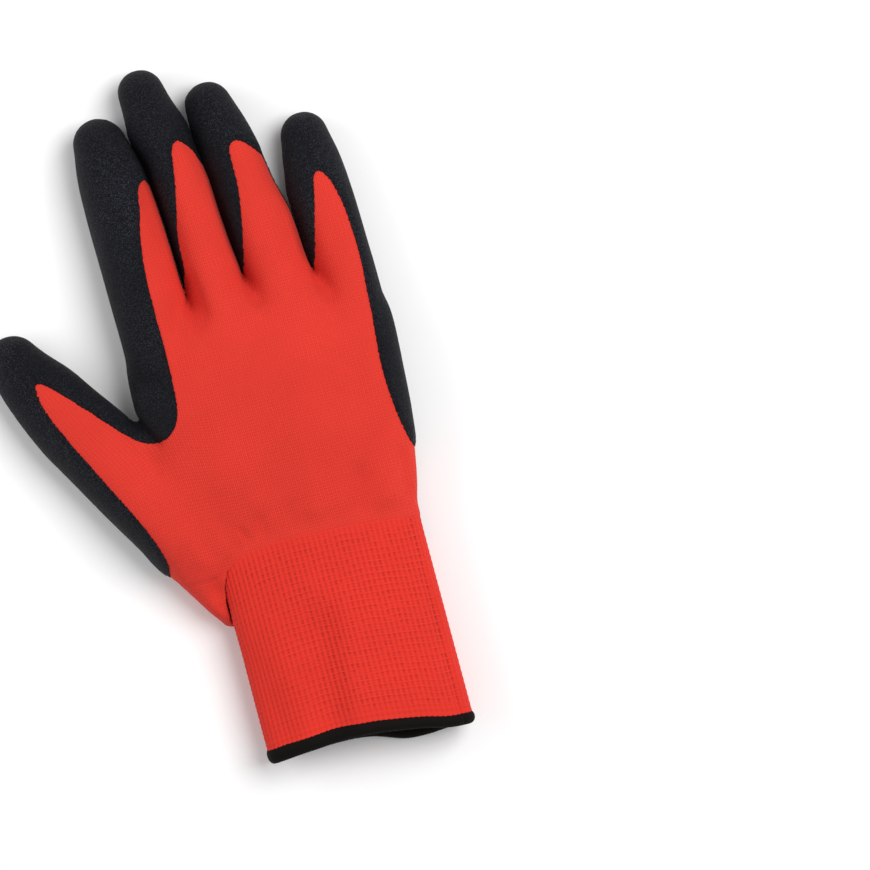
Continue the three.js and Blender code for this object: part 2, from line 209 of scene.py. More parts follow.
# The bare back's outline below the fingers, and the coating's lower edge on the palm side, as
# shares of the palm's width and of its length from the join
BACK_OUTLINE = table(
    "across along",
    (-0.54, 0.02), (-0.56, 0.116), (-0.592, 0.197), (-0.634, 0.28), (-0.68, 0.363), (-0.723, 0.446),
    (-0.767, 0.529), (-0.81, 0.612), (-0.842, 0.691), (-0.866, 0.768), (-0.864, 0.81), (-0.84, 0.8),
    (-0.79, 0.748), (-0.695, 0.652), (-0.61, 0.558), (-0.545, 0.5), (-0.49, 0.474), (-0.43, 0.476),
    (-0.385, 0.51), (-0.364, 0.567), (-0.36, 0.64), (-0.357, 0.711), (-0.356, 0.85), (-0.362, 0.93),
    (-0.3, 0.945), (-0.237, 0.955), (-0.17, 0.93), (-0.08, 0.945), (-0.015, 0.96), (0.05, 0.94),
    (0.18, 0.9), (0.24, 0.912), (0.3, 0.87), (0.36, 0.85), (0.41, 0.81), (0.406, 0.73), (0.392, 0.6),
    (0.387, 0.5), (0.396, 0.374), (0.41, 0.29), (0.43, 0.21), (0.6, 0.17), (1, -1), (-1, -1),
)
PALM_EDGE = table(
    "across along",
    (-0.8, 0.03), (-0.55, 0.01), (-0.4, -0.05), (-0.2, -0.14), (0.05, -0.21), (0.19, -0.23),
    (0.3, -0.17), (0.39, -0.1), (0.6, -0.03),
)

# The crotches between the fingers, as shares of the palm's width and length from the join, the way
# their folds lean to the little finger's side on the way down in degrees, and the depth to which the
# flank right of each sinks in millimetres
CROTCHES = table(
    "across along lean sunk",
    (-0.237, 0.955, 8, 10), (-0.015, 0.957, 16, 6.6), (0.24, 0.91, 16, 6.4),
)

# The slits between neighbouring fingers, in the same shares
SLITS = {
    ("index", "middle"): table(
        "along across",
        (0.93, -0.238), (1.04, -0.241), (1.12, -0.243), (1.2, -0.246), (1.3, -0.255), (1.42, -0.272),
        (1.54, -0.304),
    ),
    ("middle", "ring"): table(
        "along across",
        (0.95, -0.015), (1, -0.022), (1.08, -0.032), (1.2, -0.042), (1.32, -0.047), (1.38, -0.056),
        (1.46, -0.068), (1.58, -0.074),
    ),
    ("ring", "little"): table(
        "along across",
        (0.9, 0.241), (0.95, 0.231), (1, 0.223), (1.07, 0.22), (1.14, 0.214), (1.21, 0.203),
    ),
}

# How a slit's walls close, as millimetres from its line before and after
CLOSING = table("along closed", (0, 0), (1.2, 0.4), (2.4, 0.62), (4.4, 3.4), (7, 6.8), (9, 9), (10, 10))

# Soft creases of the back: from and to across the palm and from the join, half width and depth, in
# millimetres; a crease of negative depth stands out
CREASES = (
    (-19.5, 100, -17.8, 85, 2.6, 0.9),
    (-0.6, 97, 1.8, 87, 2, 0.8),
    (2, 86.5, 8.5, 85.5, 1.4, 0.3),
    (23.7, 92, 27.2, 81.5, 1.8, 0.7),
    (-10.2, 123.2, -14.3, 119.6, 1, 0.5),
    (-27.6, 131, -28.2, 106, 1.9, 0.35),
    (-51.5, 58, -45.2, 47.5, 1.9, 2.2),
    (-50, 48, -48.2, 37, 1.8, 0.35),
    (15.8, 2, 20.4, 20, 2.6, 1.3),
    (34.6, 6, 36.4, 23, 2.8, 1.3),
    (24.6, 2, 28, 19, 2.8, -0.8),
    (1.5, 5, 4.6, 22, 3.4, -0.8),
    (-19.2, 3, -16.8, 13, 2.8, 1.5),
    (-24.6, 11, -23.5, 2.5, 1.4, 1),
    (-8, 2, -6.5, 14, 2.4, 0.7),
    (-38.4, -6, -38.2, -27, 2.6, 1.9),
)

# The wrist's join and the hem on the back of the hand and on the palm side: where across the cuff's
# width, and how far each lies past its straight place, in millimetres
JOIN_LINE = table(
    "along back palm",
    (-0.5, -3.4, 0), (-0.34, 1.6, 0.4), (-0.01, 2.8, 0.6), (0.27, 1.4, 0.3), (0.5, -0.8, 0),
)
HEM_LINE = table(
    "along back palm",
    (-0.5, -0.1, -0.1), (-0.27, 1.4, 0.4), (0, 1.6, -0.8), (0.17, -0.3, -4.9), (0.27, -1.7, -5.3),
    (0.38, -3.8, -4.8), (0.5, -4.8, -4.8),
)

# Soft folds on the cuff's back: from and to across the cuff and from the hem, half width and depth,
# in millimetres; a fold of negative depth stands out
CUFF_FOLDS = (
    (-12.5, 3, -8.5, 46, 7, 2),
    (-2.8, 3, 2.4, 46, 4.6, -1.2),
    (-27, 2, -33, 40, 4, 0.7),
    (14, 2, 11, 36, 4.5, 0.35),
    (-19, 4, -24, 50, 4, -0.4),
    (33, 0, 33.2, 52, 0.8, 0.7),
    (24, 40, 26, 66, 3, -0.3),
)


def metres(name, description, default):
    """A length's property."""
    return FloatProperty(
        name=name, description=description, default=default, unit="LENGTH", subtype="DISTANCE", precision=5,
    )


def tint(name, description, default):
    """A colour's property."""
    return FloatVectorProperty(
        name=name, description=description, default=default, subtype="COLOR", size=3, min=0, max=1,
    )


class GloveForm(bpy.types.PropertyGroup):
    """Sizes of the glove's body."""
    palm_width: metres("Palm width", "Width of the palm over the coating", 95 * MM)
    palm_length: metres("Palm length", "From the wrist's join to the knuckles", 100 * MM)
    palm_thickness: metres("Palm thickness", "Height of the puffed palm", 32 * MM)
    finger_thickness: metres("Finger thickness", "Height of a finger", 21 * MM)
    knuckle_drop: metres("Knuckle drop", "How far the knuckle line falls to the sides", 27 * MM)
    coat: metres("Coating", "Thickness of the latex over the knit", 0.9 * MM)
    wall: metres("Knit wall", "Thickness of the knit", 1.2 * MM)
    slit: metres("Slit", "Gap between two fingers' knit", 2.8 * MM)
    slit_slant: FloatProperty(
        name="Slit slant", description="How far a slit runs sideways on its way down", default=0.1,
    )
    grain: metres("Grain", "Size of the mesh's faces on the hand", 1.1 * MM)


class GloveKnit(bpy.types.PropertyGroup):
    """Sizes and colours of the knit."""
    wale: metres("Wale", "Width of one column of stitches on the hand", 1.4 * MM)
    course: metres("Course", "Height of one row of stitches on the hand", 1.05 * MM)
    rib_pitch: metres("Rib pitch", "Width of one rib of the cuff", 1.85 * MM)
    rib_course: metres("Rib course", "Height of one row of the cuff", 2.15 * MM)
    rib_depth: metres("Rib depth", "Depth of the cuff's grooves", 0.4 * MM)
    red: tint("Red", "Colour of the yarn", (0.785, 0.0445, 0.029))
    rib_red: tint("Rib red", "Colour of the cuff's yarn", (0.685, 0.0325, 0.0205))
    thread: tint("Thread", "Colour of the hem's thread", (0.003, 0.0023, 0.002))


class GloveLatex(bpy.types.PropertyGroup):
    """Looks of the coating."""
    black: tint("Black", "Colour of the latex", (0.0034, 0.0038, 0.006))
    pale: tint("Pale", "Colour of the dusty high spots", (0.068, 0.071, 0.09))
    crinkle: metres("Crinkle", "Size of the coating's wrinkles", 0.9 * MM)


class GloveStage(bpy.types.PropertyGroup):
    """The camera and the floor."""
    distance: metres("Camera distance", "Height of the camera", 1.4)
    view_width: metres("View width", "Width of the picture at the glove", 303.6 * MM)
    roll: FloatProperty(
        name="Roll", description="How far the glove leans in the picture",
        default=math.radians(15), subtype="ANGLE",
    )
    aim_x: metres("Aim X", "Where the camera looks", 48.7 * MM)
    aim_y: metres("Aim Y", "Where the camera looks", -16.6 * MM)
    floor: tint("Floor", "Colour of the floor", (0.96, 0.96, 0.96))


def smooth(share, rows, column):
    """A table's column at the given shares, on Hermite curves whose slopes are the rows' mean slopes."""
    xs, ys = rows["along"], rows[column]
    slope = np.gradient(ys, xs)
    i = np.clip(np.searchsorted(xs, share) - 1, 0, len(xs) - 2)
    step = xs[i + 1] - xs[i]
    t = np.clip((share - xs[i]) / step, 0, 1)
    rise = ys[i] * (1 + 2 * t) * (1 - t) ** 2 + ys[i + 1] * t * t * (3 - 2 * t)
    return rise + step * (slope[i] * t * (1 - t) ** 2 - slope[i + 1] * t * t * (1 - t))


def ease(low, high, value):
    """0 below low, 1 above high and a smooth step between them."""
    t = np.clip((value - low) / (high - low), 0, 1)
    return t * t * (3 - 2 * t)


def band(value, low, inner_low, inner_high, high):
    """1 between the inner values, easing to 0 at the outer ones."""
    return ease(low, inner_low, value) * ease(high, inner_high, value)


def bell(off, width):
    """A bell over zero of the given half width: e to the minus square of off over width."""
    return np.exp(-(off / width) ** 2)


def right_of(heading):
    """The way to the right of each heading in plan."""
    return np.stack([heading[:, 1], -heading[:, 0]], axis=1)


def cuff_line(rows, x, z):
    """How far the join or the hem lies past its straight place at a point of the cuff, in metres."""
    place = np.clip(x / OUTER_CUFF_WIDTH, -0.5, 0.5)
    back, palm = smooth(place, rows, "back"), smooth(place, rows, "palm")
    return (palm + (back - palm) * ease(7 * MM, 15 * MM, z)) * MM


def hem_place(x, z):
    """Where the cuff's edge and the hem's middle lie along the cuff at a point of its section."""
    return HEM_Y + HEM_HEIGHT / 2 + cuff_line(HEM_LINE, x, z)


def above_join(points):
    """How far each point lies past the wrist's join, in metres."""
    return points[:, 1] - JOIN_Y - cuff_line(JOIN_LINE, points[:, 0], points[:, 2])


def form_of(name):
    """One row of the forms' table, by name."""
    i = FORM_NAMES.index(name)
    return {column: values[i] for column, values in FORMS.items()}


def follow(name, size, share):
    """A form's middle line and heading: a quadratic curve from its root, leaning and bowed sideways."""
    form = form_of(name)
    length = form["length"] * MM
    turn = math.radians(form["lean"])
    heading = np.array([-math.sin(turn), math.cos(turn)])
    right = np.array([math.cos(turn), math.sin(turn)])
    start = np.array([form["across"] * size.palm_width, JOIN_Y + form["along"] * size.palm_length])
    end = start + heading * length
    control = start + heading * length / 2 + right * 2 * form["bow"] * length
    t = np.asarray(share)[..., None]
    line = start * (1 - t) ** 2 + 2 * control * t * (1 - t) + end * t * t
    course = 2 * (control - start) * (1 - t) + 2 * (end - control) * t
    return line, course / np.linalg.norm(course, axis=-1, keepdims=True)


def rounded(turn, corner):
    """A rounded square's x and z at an angle: the cosine's and the sine's powers of 2 / corner."""
    return [np.sign(wave) * np.abs(wave) ** (2 / corner) for wave in (np.cos(turn), np.sin(turn))]


def lying_sections(centre, side, wide, high, middle, corner, floor):
    """Rings of rounded sections: x and y go out along side by wide times the section's x, z is
    middle plus high times its z, and nothing goes under floor."""
    across, up = rounded(np.linspace(0, 2 * math.pi, SECTION_POINTS, endpoint=False), corner)
    plan = centre[:, None, :] + side[:, None, :] * (wide[:, None] * across)[..., None]
    z = np.maximum(floor, middle[:, None] + high[:, None] * up)
    return np.concatenate([plan, z[..., None]], axis=2)


def closed_tube(rings):
    """Points and triangles of a tube of rings, closed by a middle point at each end."""
    count, sides = rings.shape[:2]
    points = np.concatenate([rings.reshape(-1, 3), rings[:1].mean(1), rings[-1:].mean(1)])
    a = np.arange((count - 1) * sides).reshape(count - 1, sides)
    b = np.roll(a, -1, axis=1)
    walls = np.stack([a, a + sides, b + sides, a, b + sides, b], axis=-1).reshape(-1, 3)
    first = np.arange(sides)
    last = first + (count - 1) * sides
    ends = [
        np.stack([np.full(sides, len(points) - 2), first, np.roll(first, -1)], axis=1),
        np.stack([np.full(sides, len(points) - 1), np.roll(last, -1), last], axis=1),
    ]
    return points, np.concatenate([walls, *ends])


def finger_form(name, size):
    """A finger: its table's sections along its line, then a rounded tip whose width and height fall
    by the cosine while it moves on by the sine."""
    form = form_of(name)
    rows = ROWS_OF.get(name, FINGER_ROWS)
    length, width = form["length"] * MM, form["width"] * MM
    thick = size.finger_thickness * form["high"]
    radius = form["tip_wide"] * width / 2
    body_end = 1 - radius / length
    body = np.linspace(size.coat / length, body_end, RINGS)[:-1]
    turn = np.linspace(0, math.pi / 2, TIP_RINGS + 1)[:-1]
    rows = {column: np.append(values, 0) for column, values in rows.items()}
    rows["along"][-1] = body_end
    rows["wide"][-1] = form["tip_wide"]
    rows["thick"][-1] = form["tip_thick"]
    share = np.append(body, body_end + (radius - size.coat) * np.sin(turn) / length)
    half_width = smooth(body, rows, "wide") * width / 2
    half_height = smooth(body, rows, "thick") * thick / (1 + SETTLE)
    tip_height = form["tip_thick"] * thick / (1 + SETTLE)
    wide = np.append(half_width - size.coat, (radius - size.coat) * np.cos(turn))
    high = np.append(half_height - size.coat, (tip_height - size.coat) * np.cos(turn))
    middle = np.append(half_height, np.full(TIP_RINGS, tip_height)) * SETTLE
    line, heading = follow(name, size, share)
    side = right_of(heading)
    if "aside" in rows:
        rows["aside"][-1] = rows["aside"][-2]
        line = line + side * (smooth(share, rows, "aside") * width / 2)[:, None]
    rings = lying_sections(line, side, wide, high, middle, FINGER_CORNER, size.coat)
    return closed_tube(kept_apart(rings, name, size))


def slit_line(line, points, size):
    """Where a slit lies across the hand beside each point; it slants as it goes down."""
    along, across = JOIN_Y + line["along"] * size.palm_length, line["across"] * size.palm_width
    at = np.interp(points[..., 1], along, across)
    return at + size.slit_slant * (0.7 * size.finger_thickness - points[..., 2])


def kept_apart(rings, name, size):
    """Presses a finger flat where it would cross the slit to its neighbour: x stays half a slit from
    the slit's line."""
    for (left, right), line in SLITS.items():
        at = slit_line(line, rings, size)
        if name == left:
            rings[..., 0] = np.minimum(rings[..., 0], at - size.slit / 2)
        if name == right:
            rings[..., 0] = np.maximum(rings[..., 0], at + size.slit / 2)
    return rings


def knuckle_fall(x, size):
    """How far the knuckle line falls towards the sides: the knuckle drop times the 1.5th power of the
    way from the knuckles' middle over half the palm's width."""
    off = (x - KNUCKLE_MIDDLE * size.palm_width) / (size.palm_width / 2)
    return size.knuckle_drop * np.abs(off) ** 1.5


def palm_form(size):
    """The palm from its table's sections, run on as the cuff's section down to the hem."""
    rows = {column: values.copy() for column, values in PALM_ROWS.items()}
    for column in ("thumb_side", "far_side"):
        rows[column][0] = OUTER_CUFF_WIDTH / 2 / size.palm_width
    rows["thick"][0] = OUTER_CUFF_THICKNESS / size.palm_thickness
    below = (HEM_Y - JOIN_Y) / size.palm_length
    share = np.append(np.linspace(below, 0, RINGS)[:-1], np.linspace(0, 1, RINGS))
    held = np.maximum(share, 0)
    left = -smooth(held, rows, "thumb_side") * size.palm_width
    right = smooth(held, rows, "far_side") * size.palm_width
    half_height = smooth(held, rows, "thick") * size.palm_thickness / (1 + SETTLE)
    centre = np.stack([(left + right) / 2, JOIN_Y + share * size.palm_length], axis=1)
    side = np.tile([1.0, 0.0], (len(share), 1))
    wide, high = (right - left) / 2 - size.coat, half_height - size.coat
    rings = lying_sections(centre, side, wide, high, half_height * SETTLE, PALM_CORNER, size.coat)
    rings[..., 1] -= knuckle_fall(rings[..., 0], size) * smooth(held, rows, "bow")[:, None]
    front = ease(0.78, 1.0, share)[:, None]
    for px, py in crotch_points(size):
        step = py + 1.2 * MM - (JOIN_Y + size.palm_length - knuckle_fall(px, size) * rows["bow"][-1])
        rings[..., 1] += step * front * bell(rings[..., 0] - px, 6 * MM)
    return closed_tube(rings)


def make_mesh(name, points, faces):
    """A smooth shaded mesh of the given points and triangles or quads."""
    mesh = bpy.data.meshes.new(name)
    mesh.vertices.add(len(points))
    mesh.vertices.foreach_set("co", points.astype(np.float32).ravel())
    mesh.loops.add(faces.size)
    mesh.loops.foreach_set("vertex_index", faces.astype(np.int32).ravel())
    mesh.polygons.add(len(faces))
    mesh.polygons.foreach_set("loop_start", np.arange(0, faces.size, faces.shape[1], dtype=np.int32))
    mesh.update(calc_edges=True)
    mesh.shade_smooth()
    return mesh


def make_object(name, data):
    """A new object of the given data, linked to the scene."""
    obj = bpy.data.objects.new(name, data)
    bpy.context.scene.collection.objects.link(obj)
    return obj


def fused(surfaces, grain):
    """Closed surfaces made one skin of even quads by a voxel remesh, as points and triangles."""
    points, faces = zip(*surfaces)
    offsets = np.cumsum([0] + [len(part) for part in points])
    points = np.concatenate(points)
    faces = np.concatenate([part + offset for part, offset in zip(faces, offsets)])
    obj = make_object("fusing", make_mesh("fusing", points, faces))
    remesh = obj.modifiers.new("fuse", "REMESH")
    remesh.mode = "VOXEL"
    remesh.voxel_size = grain
    result = obj.evaluated_get(bpy.context.evaluated_depsgraph_get()).to_mesh()
    result.calc_loop_triangles()
    points = np.empty(len(result.vertices) * 3)
    result.vertices.foreach_get("co", points)
    faces = np.empty(len(result.loop_triangles) * 3, dtype=np.int32)
    result.loop_triangles.foreach_get("vertices", faces)
    bpy.data.objects.remove(obj)
    return points.reshape(-1, 3), faces.reshape(-1, 3)


def edges_of(faces):
    """Each edge once, as pairs of point numbers."""
    pairs = np.sort(faces[:, [0, 1, 1, 2, 2, 0]].reshape(-1, 2), axis=1)
    return np.unique(pairs, axis=0)


def relax(values, faces, weight, rounds):
    """Moves each point's values towards the mean of its neighbours', by its weight, as often as
    rounds says."""
    a, b = edges_of(faces).T
    many = len(values)
    count = np.bincount(np.append(a, b), minlength=many)[:, None]
    for _ in range(rounds):
        total = [np.bincount(a, column[b], many) + np.bincount(b, column[a], many) for column in values.T]
        values = values + (np.stack(total, axis=1) / count - values) * weight[:, None]
    return values


def normals_of(points, faces):
    """Each point's normal: the sum of its triangles' normals, weighted by their areas."""
    corner = points[faces]
    flat = np.cross(corner[:, 1] - corner[:, 0], corner[:, 2] - corner[:, 0])
    total = np.stack([
        sum(np.bincount(faces[:, j], flat[:, k], len(points)) for j in range(3)) for k in range(3)
    ], axis=1)
    return total / np.maximum(np.linalg.norm(total, axis=1, keepdims=True), 1e-12)


def finger_coordinates(name, size, points):
    """For each point: the share of the form's length, the way to its side, and its half width."""
    form = form_of(name)
    length = form["length"] * MM
    root, tip = follow(name, size, np.array([0.0, 1.0]))[0]
    share = np.clip(((points[:, :2] - root) @ (tip - root)) / length ** 2, 0, 1.2)
    for _ in range(2):
        near, course = follow(name, size, share)
        share = share + ((points[:, :2] - near) * course).sum(1) / length
    near, course = follow(name, size, share)
    across = ((points[:, :2] - near) * right_of(course)).sum(1)
    return share, across, form["width"] * MM / 2


def palm_places(rows, size):
    """A table's shares of the palm's width and length as places in plan."""
    return np.stack([rows["across"] * size.palm_width, JOIN_Y + rows["along"] * size.palm_length], axis=1)


def crotch_points(size):
    """The crotches between the fingers in plan."""
    return palm_places(CROTCHES, size)


def soften(points, faces, size):
    """Evens the whole skin a little, and rounds the crotches and the thumb's root much more."""
    x, y, z = points.T
    thumb_root = ease(-22 * MM, -34 * MM, x) * band(y, JOIN_Y - 16 * MM, JOIN_Y - 4 * MM, 1 * MM, 13 * MM)
    knuckles = np.zeros(len(points))
    for px, py in crotch_points(size):
        distance = np.hypot(x - px, (y - py) * 0.7)
        knuckles = np.maximum(knuckles, ease(11 * MM, 4 * MM, distance) * ease(8 * MM, 14 * MM, z))
    roots = band(y, 28 * MM, 40 * MM, 52 * MM, 66 * MM) * ease(10 * MM, 18 * MM, z)
    weight = 0.05 + 0.45 * np.maximum.reduce([thumb_root, 0.8 * knuckles, 0.5 * roots])
    return relax(points, faces, weight, SOFTENING_ROUNDS)


def beside_slits(points, size):
    """For each slit, the way from its line to each point, and how much of the slit's length is there."""
    for line in SLITS.values():
        first, last = JOIN_Y + line["along"][[0, -1]] * size.palm_length
        reach = band(points[:, 1], first - 3 * MM, first + 1 * MM, last - 8 * MM, last + 8 * MM)
        yield points[:, 0] - slit_line(line, points, size), reach


def close_slits(points, size):
    """Draws the walls of each slit together until they nearly touch: the way from the slit's line is
    changed as the closing table says."""
    points = points.copy()
    for off, reach in beside_slits(points, size):
        closed = np.sign(off) * smooth(np.abs(off) / MM, CLOSING, "closed") * MM
        points[:, 0] += (closed - off) * reach * (np.abs(off) < CLOSING["along"][-1] * MM)
    return points


def sink_flanks(points, faces, size):
    """Lowers the flank right of each slit, so that the left finger's edge stands over it. The bell
    is sharp on its left side, and it runs on past the crotch, bends to the right and fades."""
    leans, depths = np.radians(CROTCHES["lean"]), CROTCHES["sunk"] * MM
    for line, (px, py), lean, sunk in zip(SLITS.values(), crotch_points(size), leans, depths):
        points = points.copy()
        x, y, z = points.copy().T
        last = JOIN_Y + line["along"][-1] * size.palm_length
        below = np.maximum(py - y, 0)
        off = x - slit_line(line, points, size) - below * math.tan(lean)
        width = np.where(off > 0, FLANK_RIGHT, FLANK_LEFT + FLANK_SPREAD * ease(1 * MM, 7 * MM, below))
        reach = band(y, py - 18 * MM, py + 2 * MM, last - 12 * MM, last + 6 * MM)
        points[:, 2] -= sunk * bell(off, width) * reach * ease(3 * MM, 19 * MM, z)
        distance = np.hypot(x - px, y - (py - 3 * MM))
        near = ease(9 * MM, 4 * MM, distance) * ease(6 * MM, 12 * MM, points[:, 2])
        points = relax(points, faces, 0.5 * near, 4)
    return points


def meet_cuff(points, size):
    """Brings the hand's lower edge down to just over the cuff, so that the join is flush."""
    weight = ease(9 * MM, 1 * MM, above_join(points))
    weight *= ease(-0.47, -0.38, points[:, 0] / OUTER_CUFF_WIDTH)
    share = (CUFF_HALF_HEIGHT + 0.12 * MM) / (CUFF_HALF_HEIGHT + outside_cuff(points, size))
    share = 1 + (share - 1) * weight
    points = points.copy()
    points[:, 0] *= share
    points[:, 2] = CUFF_MIDDLE + (points[:, 2] - CUFF_MIDDLE) * share
    return points


def sculpt(points, faces):
    """Folds and dents, as moves along the normal: the creases' bells, fine gathers over the cuff, and
    broad waves on the back."""
    x, y, z = points.T
    top = ease(BACK_FROM, BACK_FULL, z)
    move = np.zeros(len(points))
    for row in CREASES:
        from_x, from_y, to_x, to_y, width, depth = np.array(row) * MM
        along = np.array([to_x - from_x, to_y - from_y])
        length = np.linalg.norm(along)
        reach = ((x - from_x) * along[0] + (y - JOIN_Y - from_y) * along[1]) / length
        off = ((x - from_x) * along[1] - (y - JOIN_Y - from_y) * along[0]) / length
        held = band(reach, -2 * width, width, length - width, length + 2 * width)
        move -= depth * held * bell(off, width) * ease(5 * MM, 12 * MM, z)
    above = np.maximum(y - JOIN_Y, 0)
    fan = x * (1 - 0.5 * above / (90 * MM))
    gathers = sum(weight * np.sin(fan / (length * MM) + phase) for length, phase, weight in GATHERS)
    gathers_reach = np.exp(-above / (14 * MM)) * ease(JOIN_Y, JOIN_Y + 5 * MM, y)
    move += GATHER_DEPTH * gathers * gathers_reach * top
    waves = np.sin(x / (9 * MM) + y / (21 * MM)) + 0.8 * np.sin(y / (12 * MM) - x / (16 * MM) + 1.0)
    move += WAVE_DEPTH * waves * top * ease(JOIN_Y, JOIN_Y + 12 * MM, y)
    return points + normals_of(points, faces) * move[:, None]


@lru_cache(maxsize=1)
def glove_skin(sizes):
    """The knit's outer face for the whole glove, one closed skin: points, triangles and normals.
    The sizes only tell the cache when to make it anew."""
    size = bpy.context.scene.glove_form
    forms = [palm_form(size)] + [finger_form(name, size) for name in FORM_NAMES]
    points, faces = fused(forms, size.grain)
    points = sink_flanks(close_slits(soften(points, faces, size), size), faces, size)
    points = meet_cuff(sculpt(points, faces), size)
    points[:, 2] = np.maximum(points[:, 2], size.coat)
    return points, faces, normals_of(points, faces)


def skin():
    """The glove's skin at the present sizes."""
    size = bpy.context.scene.glove_form
    return glove_skin(tuple(getattr(size, name) for name in GloveForm.__annotations__))


def clip(faces, field, *values):
    """The part of a surface where field is above zero. Triangles that cross zero are cut there, and
    each array of values gets a row for each new point on a cut edge, on a straight line between
    the edge's two ends."""
    above = field > 0
    count = above[faces].sum(1)
    crossed = faces[(count == 1) | (count == 2)]
    single = above[crossed].sum(1) == 1
    odd = np.where(single, np.argmax(above[crossed], axis=1), np.argmin(above[crossed], axis=1))
    turned = crossed[np.arange(len(crossed))[:, None], (odd[:, None] + [0, 1, 2]) % 3]
    cut = np.sort(np.concatenate([turned[:, [0, 1]], turned[:, [0, 2]]]), axis=1)
    edges, place = np.unique(cut, axis=0, return_inverse=True)
    place = place.reshape(-1) + len(field)
    first, second = place[:len(turned)], place[len(turned):]
    a, b, c = turned.T
    kept = [
        faces[count == 3],
        np.stack([a, first, second], axis=1)[single],
        np.stack([first, b, c], axis=1)[~single],
        np.stack([first, c, second], axis=1)[~single],
    ]
    t = field[edges[:, 0]] / (field[edges[:, 0]] - field[edges[:, 1]])
    t = t.reshape(-1, 1)
    made = [np.concatenate([v, v[edges[:, 0]] * (1 - t) + v[edges[:, 1]] * t]) for v in values]
    faces = np.concatenate(kept)
    used, faces = np.unique(faces, return_inverse=True)
    return (faces.reshape(-1, 3), *[v[used] for v in made])


def part_of_skin(field, carried):
    """The part of the glove's skin where field is above zero: points, triangles, unit normals and the
    values carried along."""
    points, faces, normals = skin()
    faces, points, normals, carried = clip(faces, field, points, normals, carried[:, None])
    return points, faces, normals / np.linalg.norm(normals, axis=1, keepdims=True), carried[:, 0]


def shell(points, faces, normals, outward, inward):
    """A closed wall: the surface moved out and moved in along its normals, joined by a strip along
    each open edge. Returns its points and triangles, outer points first."""
    count = len(points)
    walls = np.concatenate([points + normals * outward[:, None], points + normals * inward[:, None]])
    directed = faces[:, [0, 1, 1, 2, 2, 0]].reshape(-1, 2)
    key = directed[:, 0].astype(np.int64) * count + directed[:, 1]
    back = directed[:, 1].astype(np.int64) * count + directed[:, 0]
    a, b = directed[~np.isin(key, back)].T
    rim = np.concatenate([np.stack([b, a, a + count], axis=1), np.stack([b, a + count, b + count], axis=1)])
    return walls, np.concatenate([faces, faces[:, ::-1] + count, rim])


def outside_cuff(points, size):
    """How far a point lies outside the cuff's section, roughly, in metres."""
    across = np.abs(points[:, 0]) / (OUTER_CUFF_WIDTH / 2 - size.coat)
    up = np.abs(points[:, 2] - CUFF_MIDDLE) / (CUFF_HALF_HEIGHT - size.coat)
    return ((across ** PALM_CORNER + up ** PALM_CORNER) ** (1 / PALM_CORNER) - 1) * CUFF_HALF_HEIGHT


def inside_outline(outline, plan):
    """Distance of each point in plan to a closed outline, above zero inside it."""
    along = np.roll(outline, -1, axis=0) - outline
    best = np.full(len(plan), np.inf)
    crossings = np.zeros(len(plan), dtype=int)
    for (sx, sy), (ax, ay) in zip(outline, along):
        px, py = plan[:, 0] - sx, plan[:, 1] - sy
        t = np.clip((px * ax + py * ay) / (ax * ax + ay * ay), 0, 1)
        best = np.minimum(best, (px - t * ax) ** 2 + (py - t * ay) ** 2)
        if ay:
            level = py / ay
            crossings += (level >= 0) & (level < 1) & (px - ax * level < 0)
    return np.sqrt(best) * np.where(crossings % 2, 1, -1)


def rounded_outline(points, rounds=3):
    """Cuts an outline's corners to a quarter and three quarters of each side, several times."""
    for _ in range(rounds):
        following = np.roll(points, -1, axis=0)
        near, far = points * 0.75 + following * 0.25, points * 0.25 + following * 0.75
        points = np.stack([near, far], axis=1).reshape(-1, 2)
    return points


def bare_distance(points, size):
    """How far inside the bare back a point is in plan: the palm's window or any finger's tongue."""
    plan = points[:, :2]
    inside = inside_outline(rounded_outline(palm_places(BACK_OUTLINE, size)), plan)
    for name, rows in TONGUES.items():
        share = np.linspace(rows["along"][0], rows["along"][-1], 30)
        line, heading = follow(name, size, share)
        right = right_of(heading)
        width = form_of(name)["width"] * MM
        left_edge = line + right * ((smooth(share, rows, "left") - 0.5) * width)[:, None]
        right_edge = line + right * ((smooth(share, rows, "right") - 0.5) * width)[:, None]
        tongue = inside_outline(np.concatenate([right_edge, left_edge[::-1]]), plan)
        for (left, right), slit in SLITS.items():
            beside = slit_line(slit, points, size) - points[:, 0]
            if name in (left, right):
                tongue = np.minimum(tongue, beside if name == left else -beside)
        inside = np.maximum(inside, tongue)
    return inside


def coated(points, faces, size):
    """How far inside the coated region each point is: above zero on the palm side past the wrist's
    edge, and on the back outside the bare window."""
    x, y, z = points.T
    level = 6.5 * MM + 4 * MM * ease(JOIN_Y + 14 * MM, JOIN_Y + 26 * MM, y)
    level -= 2 * MM * ease(JOIN_Y + 85 * MM, JOIN_Y + 95 * MM, y)
    bare = np.minimum(bare_distance(points, size), (z - level) * 0.8)
    edge = palm_places(PALM_EDGE, size)
    wrist = y - np.interp(x, edge[:, 0], edge[:, 1])
    field = np.minimum(-bare, wrist)[:, None]
    field = relax(field, faces, np.full(len(points), 0.5), EDGE_ROUNDS)[:, 0]
    return field + EDGE_RIPPLE * np.sin(y / RIPPLE_ALONG) * np.sin(x / RIPPLE_ACROSS)


